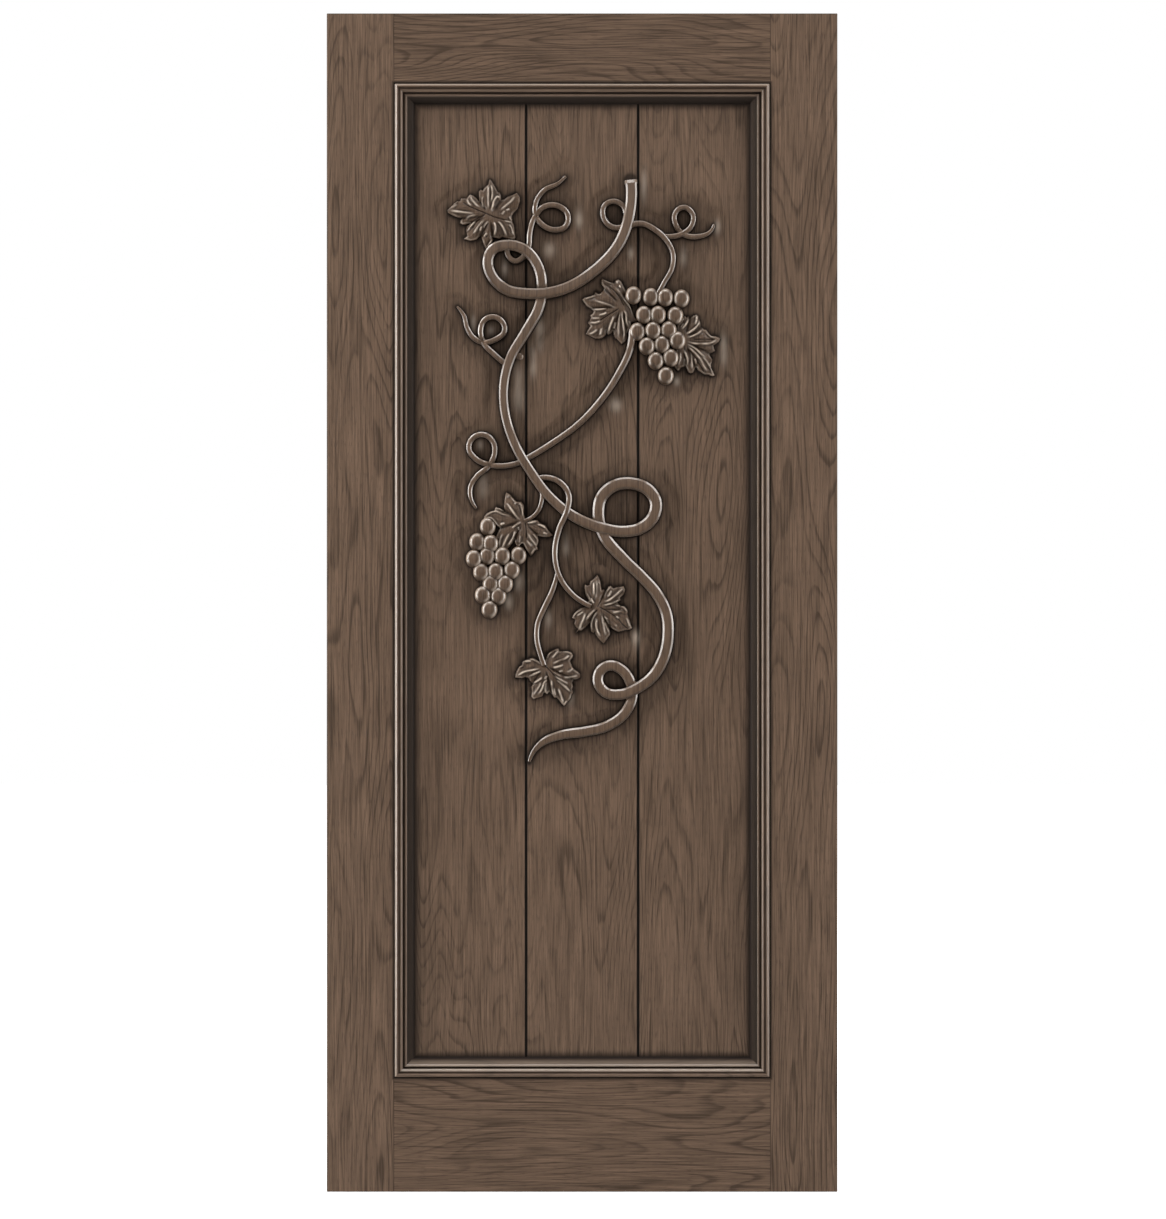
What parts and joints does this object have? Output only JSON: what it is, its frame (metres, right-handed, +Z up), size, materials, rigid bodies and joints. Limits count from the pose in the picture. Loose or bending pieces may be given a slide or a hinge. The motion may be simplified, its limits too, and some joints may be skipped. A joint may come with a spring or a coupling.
{
  "type": "carved wine cellar door",
  "caption": "Framed wooden door leaf with a recessed plank panel, mitred mouldings and a grapevine carved in relief.",
  "frame": {"origin": "on the hinge edge's face, at the door's bottom and half its thickness", "axes": "+X across the door from the hinge edge, +Y through it from the carved front to the back, +Z up"},
  "size_m": [0.914, 0.064, 2.109],
  "materials": {
    "frame_wood": "dark walnut stain under a satin clear coat",
    "plank_wood": "dark walnut stain under a satin clear coat",
    "moulding_wood": "dark walnut stain under a satin clear coat",
    "vine_wood": "dark walnut stain under a satin clear coat",
    "leaf_wood": "dark walnut stain under a satin clear coat",
    "grape_wood": "dark walnut stain under a satin clear coat"
  },
  "bodies": {
    "root": {"hinge_stile": "frame_wood", "lock_stile": "frame_wood", "top_rail": "frame_wood", "bottom_rail": "frame_wood", "plank_left": "plank_wood", "plank_centre": "plank_wood", "plank_right": "plank_wood", "front_moulding_left": "moulding_wood", "front_moulding_right": "moulding_wood", "front_moulding_top": "moulding_wood", "front_moulding_bottom": "moulding_wood", "back_moulding_left": "moulding_wood", "back_moulding_right": "moulding_wood", "back_moulding_top": "moulding_wood", "back_moulding_bottom": "moulding_wood", "vine_top": "vine_wood", "vine_middle": "vine_wood", "vine_lower": "vine_wood", "vine_tail": "vine_wood", "vine_branch": "vine_wood", "stalk_upper_bunch": "vine_wood", "stalk_bunch_leaf": "vine_wood", "stalk_middle_leaf": "vine_wood", "stalk_bottom_leaf": "vine_wood", "tendril_top": "vine_wood", "tendril_ring": "vine_wood", "tendril_right": "vine_wood", "tendril_left": "vine_wood", "tendril_lower": "vine_wood", "leaf_top": "leaf_wood", "leaf_bunch_left": "leaf_wood", "leaf_bunch_right": "leaf_wood", "leaf_over_bunch": "leaf_wood", "leaf_middle": "leaf_wood", "leaf_bottom": "leaf_wood", "grapes_upper": "grape_wood", "grapes_lower": "grape_wood"}
  },
  "joints": []
}
